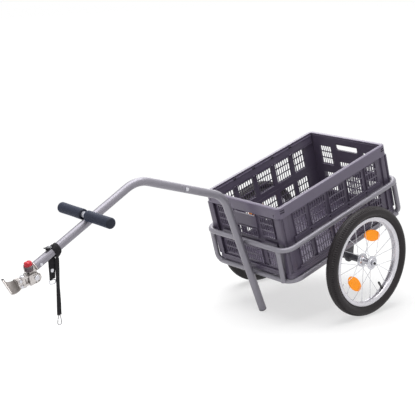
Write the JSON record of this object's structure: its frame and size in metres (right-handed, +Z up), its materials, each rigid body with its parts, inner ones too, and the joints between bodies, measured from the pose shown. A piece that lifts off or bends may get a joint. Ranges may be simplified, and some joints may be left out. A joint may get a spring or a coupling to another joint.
{
  "type": "cargo bike trailer",
  "caption": "Bicycle cargo trailer with a folding slotted crate in a tube frame, spoked wheels, a bent drawbar that is also its parking leg, a pull handle and a seat-post hitch.",
  "frame": {"origin": "middle of the trailer's footprint on the floor, without the hanging strap", "axes": "+X along the trailer towards the bicycle, +Y to the trailer's left, +Z up; the trailer is parked nose-down on its leg"},
  "size_m": [1.6684, 0.6656, 0.6228],
  "materials": {
    "silver_paint": "silver-grey powder coat, slightly glossy",
    "dark_paint": "dark grey paint",
    "tyre_rubber": "black rubber, fine tread",
    "rim_alloy": "polished alloy",
    "zinc_steel": "bright zinc plating",
    "cast_alloy": "raw cast alloy",
    "crate_plastic": "dark grey-violet moulded plastic",
    "reflector_orange": "clear orange reflector",
    "grip_foam": "dark blue-black closed foam",
    "webbing": "black woven webbing",
    "black_plastic": "black plastic",
    "red_plastic": "red plastic",
    "liner_rubber": "black rubber"
  },
  "bodies": {
    "chassis": {"upper_ring": "silver_paint", "lower_tube_front": "silver_paint", "lower_tube_rear": "silver_paint", "upright_front_left": "silver_paint", "upright_rear_right": "silver_paint", "hanger_left": "dark_paint", "hanger_right": "dark_paint", "axle_tube": "dark_paint", "drawbar_rear": "silver_paint", "drawbar_front": "silver_paint", "joint_bolt": "zinc_steel", "foot_plug": "black_plastic", "handle_tube": "silver_paint", "grip_left": "grip_foam", "grip_right": "grip_foam", "axle_pin_left": "zinc_steel", "axle_pin_right": "zinc_steel", "hitch_neck": "cast_alloy", "webbing_loops": "webbing", "strap_buckle": "black_plastic", "safety_strap": "webbing", "snap_hook": "zinc_steel"},
    "crate": {"crate_tray": "crate_plastic", "crate_rim_band": "crate_plastic", "crate_side_left_lower": "crate_plastic", "crate_side_left_upper": "crate_plastic", "crate_side_right_lower": "crate_plastic", "crate_side_right_upper": "crate_plastic"},
    "crate_front_panel": {"crate_end_front": "crate_plastic"},
    "crate_rear_panel": {"crate_end_rear": "crate_plastic"},
    "wheel_left": {"tyre_left": "tyre_rubber", "rim_left": "rim_alloy", "hub_spokes_left": "zinc_steel", "bearing_inner_left": "zinc_steel", "bearing_outer_left": "zinc_steel", "valve_left": "black_plastic", "reflector_a_left": "reflector_orange", "reflector_b_left": "reflector_orange"},
    "wheel_right": {"tyre_right": "tyre_rubber", "rim_right": "rim_alloy", "hub_spokes_right": "zinc_steel", "bearing_inner_right": "zinc_steel", "bearing_outer_right": "zinc_steel", "valve_right": "black_plastic", "reflector_a_right": "reflector_orange", "reflector_b_right": "reflector_orange"},
    "button_left": {"release_button_left": "black_plastic"},
    "button_right": {"release_button_right": "black_plastic"},
    "knob": {"release_knob": "red_plastic"},
    "hitch_block": {"hitch_block": "cast_alloy", "tilt_pin": "zinc_steel", "turn_pin": "zinc_steel"},
    "clamp": {"clamp_bracket": "cast_alloy", "clamp_saddle": "cast_alloy", "clamp_liner": "liner_rubber", "clamp_bolt_upper": "zinc_steel", "clamp_bolt_lower": "zinc_steel"},
    "strap_ring": {"strap_ring": "zinc_steel"},
    "hook_gate": {"hook_gate": "zinc_steel"}
  },
  "joints": [
    {"name": "wheel_left_spin", "type": "hinge", "parent": "chassis", "child": "wheel_left", "pos_m": [-0.53694, 0.292, 0.211], "axis": [0, 1, 0], "continuous": true},
    {"name": "wheel_right_spin", "type": "hinge", "parent": "chassis", "child": "wheel_right", "pos_m": [-0.53694, -0.292, 0.211], "axis": [0, 1, 0], "continuous": true},
    {"name": "crate_lift", "type": "slide", "parent": "chassis", "child": "crate", "axis": [0.2759, 0, 0.9612], "range_m": [0, 0.35]},
    {"name": "front_panel_fold", "type": "hinge", "parent": "crate", "child": "crate_front_panel", "pos_m": [-0.16725, 0, 0.4507], "axis": [0, 1, 0], "range_deg": [0, 85]},
    {"name": "rear_panel_fold", "type": "hinge", "parent": "crate", "child": "crate_rear_panel", "pos_m": [-0.72319, 0, 0.61029], "axis": [0, -1, 0], "range_deg": [0, 85]},
    {"name": "button_left_press", "type": "slide", "parent": "chassis", "child": "button_left", "axis": [0, -1, 0], "range_m": [0, 0.003], "stiffness_N_per_m": 600},
    {"name": "button_right_press", "type": "slide", "parent": "chassis", "child": "button_right", "axis": [0, 1, 0], "range_m": [0, 0.003], "stiffness_N_per_m": 600},
    {"name": "knob_pull", "type": "slide", "parent": "chassis", "child": "knob", "axis": [0.2082, 0, 0.9781], "range_m": [0, 0.008], "stiffness_N_per_m": 900},
    {"name": "hitch_tilt", "type": "hinge", "parent": "chassis", "child": "hitch_block", "pos_m": [0.72682, 0, 0.35487], "axis": [0, 1, 0], "range_deg": [-12, 35]},
    {"name": "hitch_turn", "type": "hinge", "parent": "hitch_block", "child": "clamp", "pos_m": [0.76692, 0, 0.34634], "axis": [0.2082, 0, 0.9781], "range_deg": [-75, 75]},
    {"name": "ring_swing", "type": "hinge", "parent": "chassis", "child": "strap_ring", "pos_m": [0.65962, 0, 0.32894], "axis": [1, 0, 0], "range_deg": [-60, 3]},
    {"name": "gate_open", "type": "hinge", "parent": "chassis", "child": "hook_gate", "pos_m": [0.64809, 0.0045, 0.19203], "axis": [0, 1, 0], "range_deg": [0, 25], "stiffness_Nm_per_rad": 0.02}
  ]
}
